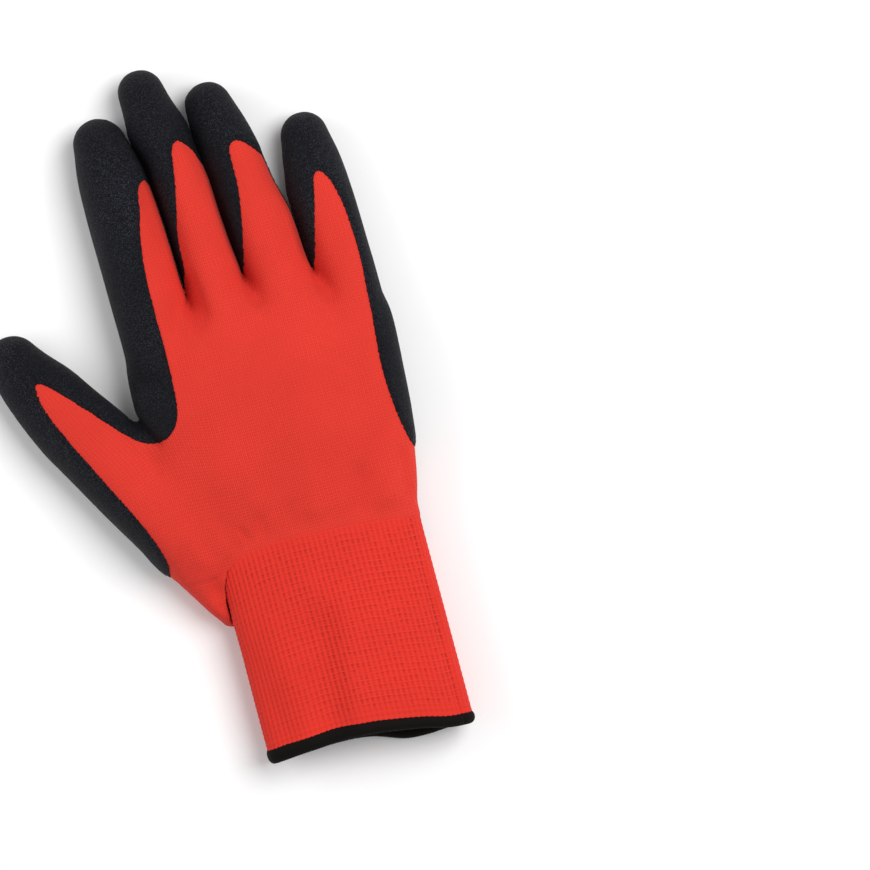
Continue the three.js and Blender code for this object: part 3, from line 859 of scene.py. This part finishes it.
def knit_places(points, size, knit):
    """Wale and course of each point: across and along the palm, taken over by each finger's own line
    beyond its root, where the two agree, and by the thumb's on its side."""
    x, y, z = points.T
    across, along = x, y - JOIN_Y
    for name in ("index", "middle", "ring", "little", "thumb"):
        share, side, half = finger_coordinates(name, size, points)
        length = form_of(name)["length"] * MM
        around = side + np.sign(side) * 0.6 * np.maximum(0, 16 * MM - z)
        if name == "thumb":
            pivot, take = 0.4, ease(0.1, 0.6, share) * ease(half + 26 * MM, half - 4 * MM, side)
        else:
            pivot, take = 0.3, ease(0.2, 0.4, share) * ease(half + 3 * MM, half, np.abs(side))
        root_x, root_y = follow(name, size, np.array([pivot]))[0][0]
        across = across * (1 - take) + (root_x + around) * take
        along = along * (1 - take) + (root_y - JOIN_Y + (share - pivot) * length) * take
    return np.stack([across / knit.wale, along / knit.course], axis=1)


def cuff_run(size):
    """The cuff's section in x and z as a function of its angle, closely spaced angles, and the way run
    along the section up to each."""
    def section(turn):
        """The section's points at the given angles."""
        across, up = rounded(turn, PALM_CORNER)
        z = np.maximum(size.coat, CUFF_MIDDLE + (CUFF_HALF_HEIGHT - size.coat) * up)
        return np.stack([(OUTER_CUFF_WIDTH / 2 - size.coat) * across, z], axis=1)

    turn = np.linspace(0, 2 * math.pi, RUN_SAMPLES)
    steps = np.linalg.norm(np.diff(section(turn), axis=0), axis=1)
    return section, turn, np.append(0, np.cumsum(steps))


def cuff_ring(share, size):
    """Points of the cuff's section at the given shares of the way round, and the ways outward there."""
    section, turn, run = cuff_run(size)
    base = section(np.interp(share * run[-1], run, turn))
    outward = right_of(np.roll(base, -1, axis=0) - np.roll(base, 1, axis=0))
    return base, outward / np.linalg.norm(outward, axis=1, keepdims=True)


def cuff_folds(base, y):
    """How deep the folds are at each point of the cuff's section and height, in metres."""
    depth = np.zeros(np.broadcast_shapes(base[:, 0].shape, y.shape))
    for row in CUFF_FOLDS:
        x_from, y_from, x_to, y_to, width, deep = np.array(row) * MM
        t = np.clip((y - HEM_Y - y_from) / (y_to - y_from), -0.25, 1.25)
        line = x_from + (x_to - x_from) * t
        depth += deep * bell(base[:, 0] - line, width) * band(t, -0.25, 0.1, 0.85, 1.25)
    return depth * ease(BACK_FROM, BACK_FULL, base[:, 1])


def rib_grooves(rib, row, share, knit):
    """Depth of the cuff's grooves: a pit where a rib's gap, half a cosine, crosses a row's, with both
    gaps' own shallower grooves. They end below the join, where the rib goes under the hand."""
    across_gap = 0.5 - 0.5 * np.cos(rib * 2 * math.pi)
    along_gap = (0.5 - 0.5 * np.cos(row * 2 * math.pi))[:, None]
    pit = across_gap ** 1.2 * along_gap ** 0.8
    relief = (0.5 * pit + 0.2 * across_gap + 0.3 * along_gap) * ease(0, 0.035, 1 - share)[:, None]
    return relief * knit.rib_depth + CLEARANCE - 2 * CLEARANCE * ease(0.1, 0.0, 1 - share)[:, None]


def rib_painted_light(x, y, z, low, top):
    """How strongly the painted shade in the dashes and the painted highlight on the lines between the rows
    show: less to the thumb's side, at the hem, at the join and on the far side, and most in one row along
    the far side of the back."""
    painted_light = (0.6 + 0.4 * ease(-26 * MM, 2 * MM, x + 0.25 * (y - HEM_Y))) * ease(4 * MM, 8 * MM, y - low)
    painted_light *= (0.3 + 0.7 * ease(0, 5 * MM, top - y)) * (1 - 0.8 * ease(33.6 * MM, 34.4 * MM, x))
    return painted_light + bell(x - PIT_ROW, PIT_ROW_WIDTH) * (z > CUFF_MIDDLE) * ease(0, 10 * MM, y - low)


def upright(section, y):
    """Points of sections in x and z at their places y along the cuff."""
    return np.stack([section[..., 0], y, section[..., 1]], axis=2)


def ring_of_rings(grid):
    """Points and quads of a grid that closes on itself both ways."""
    rows, count = grid.shape[:2]
    a = np.arange(rows * count).reshape(rows, count)
    b = np.roll(a, -1, axis=1)
    c = np.roll(b, -1, axis=0)
    d = np.roll(a, -1, axis=0)
    return grid.reshape(-1, 3), np.stack([a, d, c, b], axis=-1).reshape(-1, 4)


def set_uv(mesh, name, places):
    """Gives each corner of the mesh its point's place on the named map."""
    layer = mesh.uv_layers.new(name=name)
    index = np.empty(len(mesh.loops), dtype=np.int32)
    mesh.loops.foreach_get("vertex_index", index)
    layer.uv.foreach_set("vector", places[index].astype(np.float32).ravel())


def set_value(mesh, name, values):
    """Stores one number per point under the given name."""
    mesh.attributes.new(name, "FLOAT", "POINT").data.foreach_set("value", values.astype(np.float32))


def nodes_of(name):
    """A new material and its node tree, emptied."""
    material = bpy.data.materials.new(name)
    material.use_nodes = True
    material.node_tree.nodes.clear()
    return material, material.node_tree


def feed(tree, socket, value):
    """Links an output to a socket, or sets the socket's number. None leaves it alone."""
    if isinstance(value, bpy.types.NodeSocket):
        tree.links.new(value, socket)
    elif value is not None:
        socket.default_value = value


def put(tree, kind, *inputs, **settings):
    """Adds a shader node of a kind, sets its settings, and feeds its inputs in order."""
    node = tree.nodes.new("ShaderNode" + kind)
    for key, value in settings.items():
        setattr(node, key, value)
    for socket, value in zip(node.inputs, inputs):
        feed(tree, socket, value)
    return node


def calc(tree, operation, *inputs):
    """The result of one step of arithmetic."""
    return put(tree, "Math", *inputs, operation=operation).outputs[0]


def noise(tree, where, scale, detail):
    """Noise from 0 to 1."""
    return put(tree, "TexNoise", where, None, scale, detail).outputs[0]


def spread(tree, value, *ends):
    """A value from between the first two ends taken to between the last two."""
    return put(tree, "MapRange", value, *ends).outputs[0]


def knit_map(tree):
    """The knit map's places: across the wales or ribs, and along the rows."""
    places = put(tree, "UVMap", uv_map="knit").outputs[0]
    return put(tree, "SeparateXYZ", places).outputs[:2]


def tones(colour, *scales):
    """A colour at several strengths."""
    return [(*[min(1, c * scale) for c in colour], 1) for scale in scales]


def blend_colours(tree, factor, first, second, mode="MIX"):
    """Two colours mixed by a factor."""
    node = put(tree, "Mix", data_type="RGBA", blend_type=mode)
    for name, value in (("Factor_Float", factor), ("A_Color", first), ("B_Color", second)):
        feed(tree, next(s for s in node.inputs if s.identifier == name), value)
    return next(s for s in node.outputs if s.identifier == "Result_Color")


def clouded(tree, colour, where, scale, detail, amount):
    """A colour made lighter and darker in broad clouds, by the given amount in all."""
    shade = calc(tree, "MULTIPLY_ADD", noise(tree, where, scale, detail), amount, 1 - amount / 2)
    grey = put(tree, "CombineColor", shade, shade, shade).outputs[0]
    return blend_colours(tree, 1.0, colour, grey, "MULTIPLY")


def finish_surface(tree, colour, roughness, height, depth, specular=0.15, sheen=0.0):
    """A surface from a colour, a roughness and a relief of the given depth in metres."""
    bump, surface = put(tree, "Bump"), put(tree, "BsdfPrincipled")
    for node, name, value in (
        (bump, "Strength", 1.0), (bump, "Distance", depth), (bump, "Height", height),
        (surface, "Base Color", colour), (surface, "Roughness", roughness),
        (surface, "Normal", bump.outputs[0]), (surface, "Specular IOR Level", specular),
        (surface, "Sheen Weight", sheen), (surface, "Sheen Roughness", 0.4),
    ):
        feed(tree, node.inputs[name], value)
    put(tree, "OutputMaterial", surface.outputs[0])


def stitch_relief(tree):
    """The relief of plain knit from the knit map: in each wale two legs lean together into a V, and
    each leg is round across and along. Returns the relief and the light on it, from 0 to 1; the
    left legs lie turned away from the light."""
    wales, courses = knit_map(tree)
    wale = calc(tree, "SUBTRACT", calc(tree, "FRACT", wales), 0.5)
    out = calc(tree, "ABSOLUTE", wale)
    across = calc(tree, "SINE", calc(tree, "MULTIPLY", out, 2 * math.pi))
    leg = calc(tree, "FRACT", calc(tree, "SUBTRACT", courses, calc(tree, "MULTIPLY", out, 1.1)))
    along = calc(tree, "SINE", calc(tree, "MULTIPLY", leg, math.pi))
    relief = calc(tree, "MULTIPLY", calc(tree, "POWER", across, 0.6), calc(tree, "POWER", along, 0.5))
    return relief, calc(tree, "MULTIPLY", relief, spread(tree, wale, -0.1, 0.1, 0.72, 1.0))


def hand_knit(knit):
    """Fine plain knit: V stitches in relief, with painted shade in the grooves and on the left legs, and
    soft broad random changes of tone.
    """
    material, tree = nodes_of("red_knit")
    relief, light = stitch_relief(tree)
    where = put(tree, "TexCoord").outputs["Object"]
    # The yarn's colour and its painted shade, which the stitch grooves and the left legs take
    lit, dark = tones(knit.red, 1.0, 0.76)
    contrast = spread(tree, noise(tree, where, 120.0, 2.0), 0.38, 0.62, 0.4, 1.0)
    # How much painted shade each point takes, varied at random by the contrast noise
    depth = calc(tree, "MULTIPLY_ADD", calc(tree, "SUBTRACT", 0.5, light), contrast, 0.5)
    colour = clouded(tree, blend_colours(tree, depth, lit, dark), where, 45.0, 3.0, 0.22)
    height = calc(tree, "MULTIPLY_ADD", noise(tree, where, 2600.0, 2.0), 0.25, relief)
    finish_surface(tree, colour, 0.85, height, 0.15 * MM, sheen=0.04)
    return material


def half_cosine(tree, turns, height):
    """0.5 plus half of height times the cosine of the given turns."""
    wave = calc(tree, "COSINE", calc(tree, "MULTIPLY", turns, 2 * math.pi))
    return calc(tree, "MULTIPLY_ADD", wave, height / 2, 0.5)


def rib_knit(knit):
    """The cuff's rib on the knit map, ribs across and rows along: in each cell a dark upright dash with
    a narrow waist, painted as shade in the pit, a thin line of elastic between the rows, raised and
    painted light as a highlight, and soft grooves between the ribs, painted a little darker as shade.
    The painted shade and highlight fade with the strength stored on each point."""
    material, tree = nodes_of("red_rib")
    # The strength of the painted shade and painted highlight, stored on each point
    painted_light = put(tree, "Attribute", attribute_name="painted_light").outputs["Fac"]
    where = put(tree, "TexCoord").outputs["Object"]
    ribs, rows = knit_map(tree)
    groove = half_cosine(tree, ribs, -1)
    between = half_cosine(tree, calc(tree, "MULTIPLY_ADD", noise(tree, where, 130.0, 1.0), 0.5, rows), 1)
    uneven = spread(tree, noise(tree, where, 520.0, 1.0), 0.3, 0.7, 0.2, 1.3)
    strength = calc(tree, "MULTIPLY", uneven, painted_light)
    dash = calc(tree, "SUBTRACT", 1.0, calc(tree, "POWER", between, 2.0))
    waist = calc(tree, "POWER", calc(tree, "SUBTRACT", 1.0, between), 8.0)
    dash = calc(tree, "MULTIPLY", dash, calc(tree, "MULTIPLY_ADD", waist, -0.45, 0.9))
    pit = calc(tree, "MULTIPLY", calc(tree, "MULTIPLY", calc(tree, "POWER", groove, 2.0), dash), strength)
    pit = calc(tree, "MULTIPLY_ADD", calc(tree, "POWER", groove, 1.5), 0.2, pit)
    line = calc(tree, "MULTIPLY", calc(tree, "POWER", between, 7.0), calc(tree, "MULTIPLY", strength, 0.6))
    # The yarn's colour, its painted shade in the pits and grooves, and its painted highlight on the lines
    lit, dark, bright = tones(knit.rib_red, 1.0, 0.7, 1.22)
    colour = blend_colours(tree, line, blend_colours(tree, pit, lit, dark), bright)
    colour = clouded(tree, colour, where, 40.0, 2.0, 0.2)
    height = calc(tree, "SUBTRACT", line, pit)
    height = calc(tree, "MULTIPLY_ADD", noise(tree, where, 2400.0, 2.0), 0.2, height)
    finish_surface(tree, colour, 0.85, height, 0.16 * MM, sheen=0.04)
    return material


def hem_thread(knit):
    """Black overlock thread: matt, with fine strands."""
    material, tree = nodes_of("black_thread")
    fuzz = noise(tree, put(tree, "TexCoord").outputs["Object"], 1800.0, 3.0)
    colour = blend_colours(tree, fuzz, *tones(knit.thread, 1.0, 2.2))
    finish_surface(tree, colour, 0.8, fuzz, 0.12 * MM, specular=0.1)
    return material


def crinkle_latex(latex):
    """Matt crinkled latex: fine wrinkles and pits, paler and rougher on the high spots."""
    material, tree = nodes_of("black_latex")
    where = put(tree, "TexCoord").outputs["Object"]
    scale = 1 / latex.crinkle
    warp = put(tree, "TexNoise", where, None, scale * 0.5, 2.0).outputs[1]
    bent = put(tree, "Mix", None, None, None, None, where, warp, data_type="VECTOR")
    bent.inputs[0].default_value = 0.0006
    wrinkle = put(tree, "TexNoise", bent.outputs[1], None, scale, 4.0, 0.62).outputs[0]
    speck = noise(tree, where, scale * 2.4, 2.0)
    high = spread(tree, speck, 0.5, 0.66, 0.0, 1.0)
    patches = calc(tree, "MULTIPLY_ADD", noise(tree, where, 30.0, 2.0), 1.1, -0.1)
    dusty = calc(tree, "MULTIPLY", high, patches)
    colour = blend_colours(tree, dusty, (*latex.black, 1), (*latex.pale, 1))
    roughness = calc(tree, "MULTIPLY_ADD", high, 0.15, 0.62)
    height = calc(tree, "MULTIPLY_ADD", speck, 0.5, wrinkle)
    finish_surface(tree, colour, roughness, height, 1.1 * MM, specular=0.14)
    return material


def plain_floor(stage):
    """The pale floor's material."""
    material, tree = nodes_of("pale_floor")
    surface = put(tree, "BsdfPrincipled", (*stage.floor, 1))
    surface.inputs["Roughness"].default_value = 0.9
    put(tree, "OutputMaterial", surface.outputs[0])
    return material


def place_piece(name, mesh, node, material):
    """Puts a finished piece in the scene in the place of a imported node."""
    piece = make_object(name, mesh)
    mesh.materials.append(material)
    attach(piece, "root")
    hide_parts(node)


class GLOVE_OT_knit_hand(bpy.types.Operator):
    """Makes the knitted palm, back and finger stalls, hollow and open at the wrist"""
    bl_idname = "glove.knit_hand"
    bl_label = "Knit hand"

    def execute(self, context):
        size, knit = context.scene.glove_form, context.scene.glove_knit
        points = skin()[0]
        above = above_join(points)
        beside_cuff = outside_cuff(points, size) - 0.35 * MM
        slouch = np.minimum(points[:, 1] - (JOIN_Y - 30 * MM), -0.4 * OUTER_CUFF_WIDTH - points[:, 0])
        keep = np.maximum(above, np.minimum(beside_cuff, slouch))
        points, faces, normals, above = part_of_skin(keep, above)
        dive = -HAND_DIVE * ease(0.9 * MM, 0, np.abs(above))
        places = knit_places(points, size, knit)
        points, faces = shell(points, faces, normals, dive, np.full(len(points), -size.wall))
        mesh = make_mesh("knit_hand", points, faces)
        set_uv(mesh, "knit", np.tile(places, (2, 1)))
        place_piece("hand_of_knit", mesh, "knit_hand", hand_knit(knit))
        return {"FINISHED"}


class GLOVE_OT_rib_cuff(bpy.types.Operator):
    """Makes the ribbed wrist: ribs along it, crossed by the rows of elastic, with a plain inside"""
    bl_idname = "glove.rib_cuff"
    bl_label = "Rib cuff"

    def execute(self, context):
        size, knit = context.scene.glove_form, context.scene.glove_knit
        ribs = round(cuff_run(size)[2][-1] / knit.rib_pitch)
        rib = np.arange(ribs * STITCH_SAMPLES) / STITCH_SAMPLES
        base, outward = cuff_ring(rib / ribs, size)
        x, z = base.T
        rows = round((JOIN_Y - HEM_Y) / knit.rib_course)
        row = np.arange(rows * STITCH_SAMPLES + 1) / STITCH_SAMPLES
        low = hem_place(x, z)
        top = JOIN_Y + 0.8 * MM + cuff_line(JOIN_LINE, x, z)
        y = low + (top - low) * (row / rows)[:, None]
        folds = cuff_folds(base, y)
        depth = rib_grooves(rib, row, row / rows, knit) + folds
        outer = upright(base - outward * depth[..., None], y)
        pick = np.linspace(len(row) - 1, 0, INNER_ROWS).astype(int)
        inner = upright(base - outward * (CUFF_WALL + folds[pick])[..., None], y[pick])
        points, faces = ring_of_rings(np.concatenate([outer, inner]))
        # Each point's strength of the painted shade in the pits and the painted highlight on the lines;
        # weak on the inside
        painted_light = np.concatenate([rib_painted_light(x, y, z, low, top), np.full((INNER_ROWS, len(rib)), 0.3)])
        mesh = make_mesh("rib_cuff", points, faces)
        places = np.stack(np.broadcast_arrays(rib[None, :], np.append(row, row[pick])[:, None]), axis=2)
        set_uv(mesh, "knit", places.reshape(-1, 2))
        set_value(mesh, "painted_light", painted_light.ravel())
        place_piece("cuff_of_rib", mesh, "rib_cuff", rib_knit(knit))
        return {"FINISHED"}


class GLOVE_OT_cuff_hem(bpy.types.Operator):
    """Makes the black overlocked binding round the cuff's open end"""
    bl_idname = "glove.cuff_hem"
    bl_label = "Cuff hem"

    def execute(self, context):
        size, knit = context.scene.glove_form, context.scene.glove_knit
        share = np.arange(HEM_POINTS) / HEM_POINTS
        way = share * cuff_run(size)[2][-1]
        base, outward = cuff_ring(share, size)
        x, z = base.T
        section = np.linspace(0, 2 * math.pi, HEM_SECTION_POINTS, endpoint=False)[:, None]
        stitch = 0.1 * MM * np.abs(np.sin(way / (1.1 * MM) * math.pi + section * 0.8))
        half_along = HEM_HEIGHT / 2 + 0.35 * MM - 0.35 * MM * np.sin(x / OUTER_CUFF_WIDTH * math.pi)
        line = hem_place(x, z)
        out = (HEM_RADIUS + stitch) * np.cos(section) - HEM_INSET - cuff_folds(base, line)
        plan = base + outward * out[..., None]
        plan[..., 1] = np.maximum(plan[..., 1], FLOOR + CLEARANCE)
        points, faces = ring_of_rings(upright(plan, line + (half_along + stitch) * np.sin(section)))
        mesh = make_mesh("cuff_hem", points, faces)
        place_piece("hem_of_thread", mesh, "cuff_hem", hem_thread(knit))
        return {"FINISHED"}


class GLOVE_OT_latex_coating(bpy.types.Operator):
    """Makes the crinkle latex skin over the palm side, the finger sides and the tips"""
    bl_idname = "glove.latex_coating"
    bl_label = "Latex coating"

    def execute(self, context):
        size, latex = context.scene.glove_form, context.scene.glove_latex
        field = coated(*skin()[:2], size)
        points, faces, normals, depth = part_of_skin(field, field)
        room = np.ones(len(points))
        for off, reach in beside_slits(points, size):
            room = np.minimum(room, 1 - reach * bell(off, 2.2 * MM))
        rise = size.coat - COAT_EDGE - CLEARANCE
        thickness = COAT_EDGE + rise * ease(0, 1.6 * MM, depth) * room
        points, faces = shell(points, faces, normals, thickness, np.full(len(points), CLEARANCE))
        points[:, 2] = np.maximum(points[:, 2], FLOOR)
        mesh = make_mesh("latex_coating", points, faces)
        place_piece("coating_of_latex", mesh, "latex_coating", crinkle_latex(latex))
        return {"FINISHED"}


class GLOVE_OT_stage(bpy.types.Operator):
    """Sets the floor, the soft lights and the camera"""
    bl_idname = "glove.stage"
    bl_label = "Stage"

    def execute(self, context):
        stage = context.scene.glove_stage
        corners = [(-1, -1), (1, -1), (1, 1), (-1, 1)]
        corners = np.array([(x * FLOOR_REACH, y * FLOOR_REACH, FLOOR) for x, y in corners])
        floor = make_object("floor", make_mesh("floor", corners, np.array([[0, 1, 2, 3]])))
        floor.data.materials.append(plain_floor(stage))

        world = bpy.data.worlds.new("studio")
        world.use_nodes = True
        background = world.node_tree.nodes["Background"]
        background.inputs["Color"].default_value = (1.0, 1.0, 1.0, 1)
        background.inputs["Strength"].default_value = WORLD_STRENGTH
        context.scene.world = world
        for name, place, width, power in LIGHTS:
            light = bpy.data.lights.new(name, "AREA")
            light.shape = "SQUARE"
            light.size = width
            light.energy = power
            lamp = make_object(name, light)
            lamp.location = place
            lamp.rotation_euler = (-Vector(place)).to_track_quat("-Z", "Y").to_euler()

        camera = bpy.data.cameras.new("camera")
        eye = make_object("camera", camera)
        eye.location = (stage.aim_x, stage.aim_y, stage.distance)
        eye.rotation_euler = (0, 0, -stage.roll)
        camera.sensor_width = SENSOR_WIDTH
        camera.lens = SENSOR_WIDTH * (stage.distance - AIM_HEIGHT) / stage.view_width
        camera.clip_end = CAMERA_REACH
        context.scene.camera = eye
        context.scene.view_settings.view_transform = "Standard"
        return {"FINISHED"}


class GLOVE_PT_panel(bpy.types.Panel):
    """Lists the glove's pieces and sizes"""
    bl_idname = "GLOVE_PT_panel"
    bl_label = "Grip glove"
    bl_space_type = "VIEW_3D"
    bl_region_type = "UI"
    bl_category = "Glove"

    def draw(self, context):
        for group in GROUPS:
            settings = getattr(context.scene, group)
            box = self.layout.box()
            for name in settings.__annotations__:
                box.prop(settings, name)
        for operator in OPERATORS:
            self.layout.operator(operator.bl_idname)


GROUPS = {
    "glove_form": GloveForm,
    "glove_knit": GloveKnit,
    "glove_latex": GloveLatex,
    "glove_stage": GloveStage,
}
OPERATORS = (
    GLOVE_OT_knit_hand, GLOVE_OT_rib_cuff, GLOVE_OT_cuff_hem, GLOVE_OT_latex_coating, GLOVE_OT_stage,
)


def register():
    """Adds the groups, the operators and the panel."""
    for name, group in GROUPS.items():
        bpy.utils.register_class(group)
        setattr(bpy.types.Scene, name, PointerProperty(type=group))
    for cls in (*OPERATORS, GLOVE_PT_panel):
        bpy.utils.register_class(cls)


def unregister():
    """Takes them away again."""
    for cls in reversed((*OPERATORS, GLOVE_PT_panel)):
        bpy.utils.unregister_class(cls)
    for name, group in GROUPS.items():
        delattr(bpy.types.Scene, name)
        bpy.utils.unregister_class(group)


def main():
    """Makes every piece and the stage."""
    register()
    bpy.ops.glove.knit_hand()
    bpy.ops.glove.rib_cuff()
    bpy.ops.glove.cuff_hem()
    bpy.ops.glove.latex_coating()
    bpy.ops.glove.stage()


if __name__ == "__main__":
    main()
